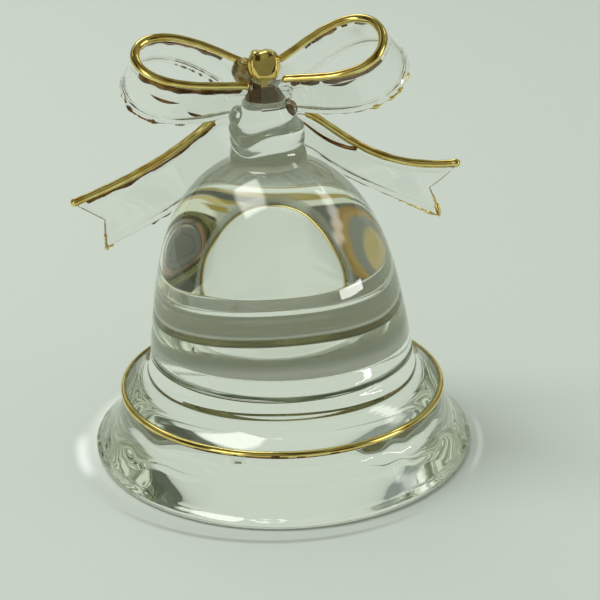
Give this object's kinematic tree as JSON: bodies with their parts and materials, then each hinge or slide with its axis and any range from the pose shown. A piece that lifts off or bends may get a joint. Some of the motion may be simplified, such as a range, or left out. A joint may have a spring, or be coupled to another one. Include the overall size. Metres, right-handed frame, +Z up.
{
  "type": "glass bell ornament",
  "caption": "Solid clear glass table bell ornament on a flared foot, topped by a glass ribbon bow with V-cut tails, with gilt lines along its bead edges.",
  "frame": {"origin": "centre of the flat foot, on the bell's axis at the foot", "axes": "+Z up through the neck and the bow; -Y towards the front of the bow, where the knot's gilt cap is; +X to the right as seen from the front"},
  "size_m": [0.0723, 0.0698, 0.0793],
  "materials": {
    "clear_glass": "clear, fire polished",
    "gilding": "bright fired gold"
  },
  "bodies": {
    "root": {"bell_body": "clear_glass", "bow_stem": "clear_glass", "bow_knot": "clear_glass", "bow_loop_left": "clear_glass", "bow_loop_right": "clear_glass", "bow_tail_left": "clear_glass", "bow_tail_right": "clear_glass", "gilt_knot_cap": "gilding", "gilt_shoulder_ring": "gilding", "gilt_loop_left": "gilding", "gilt_loop_right": "gilding", "gilt_loop_left_lower": "gilding", "gilt_loop_right_lower": "gilding", "gilt_tail_left_upper": "gilding", "gilt_tail_left_lower": "gilding", "gilt_tail_right_upper": "gilding", "gilt_tail_right_lower": "gilding", "gilt_tail_right_inner": "gilding"}
  },
  "joints": []
}
